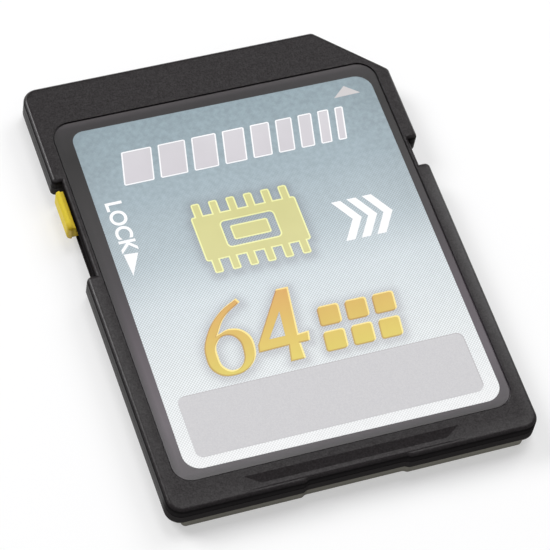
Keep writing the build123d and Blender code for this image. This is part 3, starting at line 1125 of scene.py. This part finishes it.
# %% Writing panel
PANEL_LEFT = -9.24
PANEL_RIGHT = 9.47
PANEL_LOW = -12.70
PANEL_HIGH = -8.41
PANEL_RADIUS = 0.45
PANEL_SHIFT = (0.06, 0.06)

panel_outline = rounded_box(PANEL_LEFT, PANEL_LOW, PANEL_RIGHT, PANEL_HIGH, PANEL_RADIUS)
ink_plate("panel_shade", [panel_outline], FIRST_PASS, shade_ink, shift=PANEL_SHIFT)
ink_plate("writing_panel", [panel_outline], SECOND_PASS, panel_ink)

# %% Insertion triangle and lock arrow
INSERT_TRIANGLE = [(7.68, 10.56), (9.50, 10.60), (8.60, 11.34)]
ARROW_TRIANGLE = [(-9.23, 2.38), (-8.30, 2.31), (-9.10, 0.72)]

ink_plate("insert_mark", [INSERT_TRIANGLE], FIRST_PASS, grey_ink)
ink_plate("lock_arrow", [ARROW_TRIANGLE], FIRST_PASS, white_ink)

# %% Lock word
LOCK_START = (-9.25, 6.40)
LOCK_LENGTH = 3.9
LOCK_HEIGHT = 1.13
LOCK_WEIGHT = 0.022

lock_text = bpy.data.curves.new("lock_word", "FONT")
lock_text.body = "LOCK"
lock_text.fill_mode = "BOTH"
lock_text.resolution_u = 6
lock_text.extrude = INK / 2
lock_text.offset = LOCK_WEIGHT
lock_probe = bpy.data.objects.new("lock_probe", lock_text)
scene.collection.objects.link(lock_probe)
bpy.context.view_layer.update()
lock_size = lock_probe.dimensions.copy()
bpy.data.objects.remove(lock_probe)
lock_scale = Matrix.Diagonal((LOCK_LENGTH * MM / lock_size.x, LOCK_HEIGHT * MM / lock_size.y, 1, 1))
lock_turn = Matrix.Rotation(-math.pi / 2, 4, "Z")
lock_place = Matrix.Translation((LOCK_START[0] * MM, LOCK_START[1] * MM, 0))
curve_to_plate("lock_word", lock_text, FIRST_PASS, white_ink, lock_place @ lock_turn @ lock_scale)

# %% [markdown]
# ## Printed figures
# Four printed blocks give the label its face: a row of slanted bars at the top, a pictogram of a chip
# with its legs, three chevrons for speed, and a large number beside a block of memory cells. Loops
# place what repeats. The blocks in colour have a pale keyline, which is the same outline printed a
# little larger below the fill.

# %% Slanted bars
BAR_LOW = 7.32
BAR_HIGH = 9.84
BAR_LEFT = -7.65
BAR_RIGHT = 8.0
BAR_COUNT = 9
BAR_GAP = 0.42
BAR_SLANT = 0.55
BAR_RADIUS = 0.12
BAR_TAPER = 0.8
BAR_KEYLINE = 0.09

bar_shares = [BAR_COUNT - index * BAR_TAPER for index in range(BAR_COUNT)]
bar_room = BAR_RIGHT - BAR_LEFT - BAR_SLANT - BAR_GAP * (BAR_COUNT - 1)
bars = []
bar_start = BAR_LEFT
for share in bar_shares:
    bar_end = bar_start + bar_room * share / sum(bar_shares)
    bars.append(rounded([
        (bar_start, BAR_LOW, BAR_RADIUS), (bar_end, BAR_LOW, BAR_RADIUS),
        (bar_end + BAR_SLANT, BAR_HIGH, BAR_RADIUS), (bar_start + BAR_SLANT, BAR_HIGH, BAR_RADIUS),
    ]))
    bar_start = bar_end + BAR_GAP
ink_plate("bar_keylines", bars, FIRST_PASS, white_ink)
ink_plate("bar_fills", bars, SECOND_PASS, pale_ink, spread=-BAR_KEYLINE)

# %% Chip pictogram
CHIP_LEFT = -4.35
CHIP_RIGHT = 2.65
CHIP_LOW = 0.55
CHIP_HIGH = 3.95
CHIP_RADIUS = 0.2
CHIP_KEYLINE = 0.1
CHIP_STEPS = 4
CHIP_LEGS = 6
LEG_LENGTH = 0.95
LEG_WIDTH = 0.58
LEG_RADIUS = 0.14
DIE_WINDOW = (-2.6, 1.3, 0.9, 3.2)
WINDOW_RADIUS = 0.25
DIE_ISLAND = (-2.1, 1.7, 0.4, 2.8)
ISLAND_RADIUS = 0.15

leg_pitch = (CHIP_RIGHT - CHIP_LEFT) / CHIP_LEGS
leg_middles = [CHIP_LEFT + leg_pitch * (index + 0.5) for index in range(CHIP_LEGS)]


def leg(middle, root, tip):
    """One rounded leg of the pictogram, from the body's edge to its tip."""
    left = middle - LEG_WIDTH / 2
    right = middle + LEG_WIDTH / 2
    return [(left, root, 0), (left, tip, LEG_RADIUS), (right, tip, LEG_RADIUS), (right, root, 0)]


chip_corners = [(CHIP_LEFT, CHIP_LOW, CHIP_RADIUS), (CHIP_LEFT, CHIP_HIGH, CHIP_RADIUS)]
for middle in leg_middles:
    chip_corners += leg(middle, CHIP_HIGH, CHIP_HIGH + LEG_LENGTH)
chip_corners += [(CHIP_RIGHT, CHIP_HIGH, CHIP_RADIUS), (CHIP_RIGHT, CHIP_LOW, CHIP_RADIUS)]
for middle in reversed(leg_middles):
    chip_corners += leg(middle, CHIP_LOW, CHIP_LOW - LEG_LENGTH)[::-1]
chip_outline = rounded(chip_corners, CHIP_STEPS)
die_window = rounded_box(*DIE_WINDOW, WINDOW_RADIUS, CHIP_STEPS)
die_island = rounded_box(*DIE_ISLAND, ISLAND_RADIUS, CHIP_STEPS)
chip_shapes = [chip_outline, die_island]
chip_keyline = ink_plate("chip_keyline", chip_shapes, FIRST_PASS, khaki_edge, holes=[die_window])
ink_plate("chip_fill", chip_shapes, SECOND_PASS, khaki_ink, holes=[die_window], spread=-CHIP_KEYLINE)

# %% Speed chevrons
CHEVRON_COUNT = 3
CHEVRON_STEP = 1.05
CHEVRON_LEFT = 4.75
CHEVRON_MIDDLE = 1.34
CHEVRON_HALF = 1.5
CHEVRON_DEPTH = 0.95
CHEVRON_WIDTH = 0.62

chevron_low = CHEVRON_MIDDLE - CHEVRON_HALF
chevron_high = CHEVRON_MIDDLE + CHEVRON_HALF
chevrons = []
for index in range(CHEVRON_COUNT):
    left = CHEVRON_LEFT + index * CHEVRON_STEP
    right = left + CHEVRON_WIDTH
    chevrons.append([
        (left, chevron_low), (right, chevron_low), (right + CHEVRON_DEPTH, CHEVRON_MIDDLE),
        (right, chevron_high), (left, chevron_high), (left + CHEVRON_DEPTH, CHEVRON_MIDDLE),
    ])
ink_plate("speed_chevrons", chevrons, FIRST_PASS, white_ink)

# %% [markdown]
# ## Large number and memory cells
# The figures are drawn in a unit square, with smooth points on their bowls and plain corners on
# their stems. A font would be quicker, but drawn figures can have the broad and narrow strokes of
# a pen. One function stretches and slants them, and the cells beside them too. The gold is printed in
# three passes, a pale edge, a brown shade and the fill, each a little out of place, which makes the
# figures look raised.

# %% Large figures
FIGURE_SLANT = 0.12
SIX = [
    (0.52, 1.0), (0.28, 0.86, "s"), (0.07, 0.60, "s"), (0.0, 0.33, "s"), (0.08, 0.08, "s"),
    (0.30, -0.01, "s"), (0.54, 0.08, "s"), (0.62, 0.31, "s"), (0.55, 0.52, "s"), (0.38, 0.61, "s"),
    (0.20, 0.57), (0.33, 0.78, "s"), (0.56, 0.94),
]
SIX_HOLE = [
    (0.31, 0.54, "s"), (0.17, 0.46, "s"), (0.145, 0.28, "s"), (0.20, 0.11, "s"),
    (0.315, 0.055, "s"), (0.43, 0.12, "s"), (0.475, 0.29, "s"), (0.43, 0.47, "s"),
]
FOUR = [
    (0.36, 1.0), (0.51, 1.0), (0.50, 0.34), (0.63, 0.35), (0.62, 0.22), (0.50, 0.22),
    (0.52, 0.0), (0.34, 0.0), (0.36, 0.22), (-0.01, 0.21), (0.0, 0.32),
]
FOUR_HOLE = [(0.36, 0.34), (0.36, 0.76), (0.12, 0.34)]
SIX_PLACE = dict(left=-6.75, base=-7.68, width=5.1, height=5.2)
FOUR_PLACE = dict(left=-3.35, base=-7.68, width=5.3, height=5.2)


def figure(outline, left, base, width, height):
    """Places a unit outline at its left and base, stretched to a size and slanted."""
    placed = []
    for spot in outline:
        lean = FIGURE_SLANT * spot[1] * height
        placed.append((left + spot[0] * width + lean, base + spot[1] * height, *spot[2:]))
    return placed


figure_shapes = [figure(SIX, **SIX_PLACE), figure(FOUR, **FOUR_PLACE)]
figure_holes = [figure(SIX_HOLE, **SIX_PLACE), figure(FOUR_HOLE, **FOUR_PLACE)]
print("figures:", len(figure_shapes), "outlines and", len(figure_holes), "holes")

# %% Memory cells
CELL = rounded_box(0, 0, 1, 1, radius=0.16, steps=4)
CELL_LEFT = 0.85
CELL_LOW = -7.62
CELL_SIZE = 1.42
CELL_STEP = 1.83
CELL_COLUMNS = 3
CELL_ROWS = 2

for row in range(CELL_ROWS):
    lift = row * CELL_STEP
    for column in range(CELL_COLUMNS):
        left = CELL_LEFT + column * CELL_STEP + FIGURE_SLANT * lift
        figure_shapes.append(figure(CELL, left, CELL_LOW + lift, CELL_SIZE, CELL_SIZE))
print("with the cells:", len(figure_shapes), "outlines")

# %% Gold inks
EDGE_SHIFT = (0.04, 0.03)
SHADE_INSET = 0.03
SHADE_SHIFT = (-0.05, -0.04)
FILL_INSET = 0.08

figure_keyline = ink_plate(
    "figure_keyline", figure_shapes, FIRST_PASS, gold_edge, holes=figure_holes, shift=EDGE_SHIFT
)
ink_plate(
    "figure_shade", figure_shapes, SECOND_PASS, gold_shade,
    holes=figure_holes, spread=-SHADE_INSET, shift=SHADE_SHIFT,
)
ink_plate("figure_fill", figure_shapes, THIRD_PASS, gold_ink, holes=figure_holes, spread=-FILL_INSET)

# %% [markdown]
# ## Printed field
# The field is a rounded rectangle, a little out of square with the film as trimmed labels are. It is
# filled with an even net of points, so that the soft shade can be stored on them: the nearer a point
# lies to the pictogram or a figure, the darker it is. A Delaunay fill keeps the outline exact around
# that net. The shade falls a little to the near side, as if the light came from the far one.

# %% Field plate
FIELD_CORNERS = [(-10.15, -13.40, 1.1), (10.46, -13.53, 1.1), (10.46, 11.90, 1.1), (-9.83, 12.03, 0.8)]
FIELD = rounded(FIELD_CORNERS, steps=10)
NET = 0.2
SAME_POINT = 1e-6
KEEP_INSIDE = 1

field_low = Vector((min(x for x, y in FIELD), min(y for x, y in FIELD)))
field_high = Vector((max(x for x, y in FIELD), max(y for x, y in FIELD)))
net_points = [Vector(spot) for spot in FIELD]
columns = int((field_high.x - field_low.x) / NET)
rows = int((field_high.y - field_low.y) / NET)
for row in range(1, rows):
    for column in range(1, columns):
        net_points.append(field_low + Vector((column, row)) * NET)
rim = [(index, (index + 1) % len(FIELD)) for index in range(len(FIELD))]
filled = delaunay_2d_cdt(net_points, rim, [list(range(len(FIELD)))], KEEP_INSIDE, SAME_POINT)
print("net points", len(net_points), "kept inside the outline", len(filled[0]))

# %% Close the field's plate
top_points = [(spot.x * MM, spot.y * MM, FILM_TOP + INK) for spot in filled[0]]
top_faces = [tuple(face) for face in filled[2]]
low_points = [(x * MM, y * MM, FILM_TOP) for x, y in FIELD]
low_start = len(top_points)
rim_points = {}
for index, origins in enumerate(filled[3]):
    if origins and origins[0] < len(FIELD):
        rim_points[origins[0]] = index
walls = [(rim_points[a], low_start + a, low_start + b, rim_points[b]) for a, b in rim]
bottom = [tuple(low_start + index for index in reversed(range(len(FIELD))))]
field = link_mesh("print_field", top_points + low_points, top_faces + walls + bottom)
field.data.materials.append(print_field)
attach(field, "card")

# %% Soft shade on the field
SHADE_REACH = 0.42 * MM
SHADE_FALL = Vector((0.0, 0.15 * MM, 0.0))

shaded_shapes = []
for plate in (chip_keyline, figure_keyline):
    spots = [vertex.co for vertex in plate.data.vertices]
    faces = [tuple(face.vertices) for face in plate.data.polygons]
    shaded_shapes.append(BVHTree.FromPolygons(spots, faces))
shade = field.data.attributes.new(SOFT_SHADE, "FLOAT", "POINT")
for vertex in field.data.vertices:
    gap = min(shape.find_nearest(vertex.co + SHADE_FALL)[3] for shape in shaded_shapes)
    shade.data[vertex.index].value = math.exp(-(gap / SHADE_REACH) ** 2)
print("shade stored on", len(shade.data), "points")
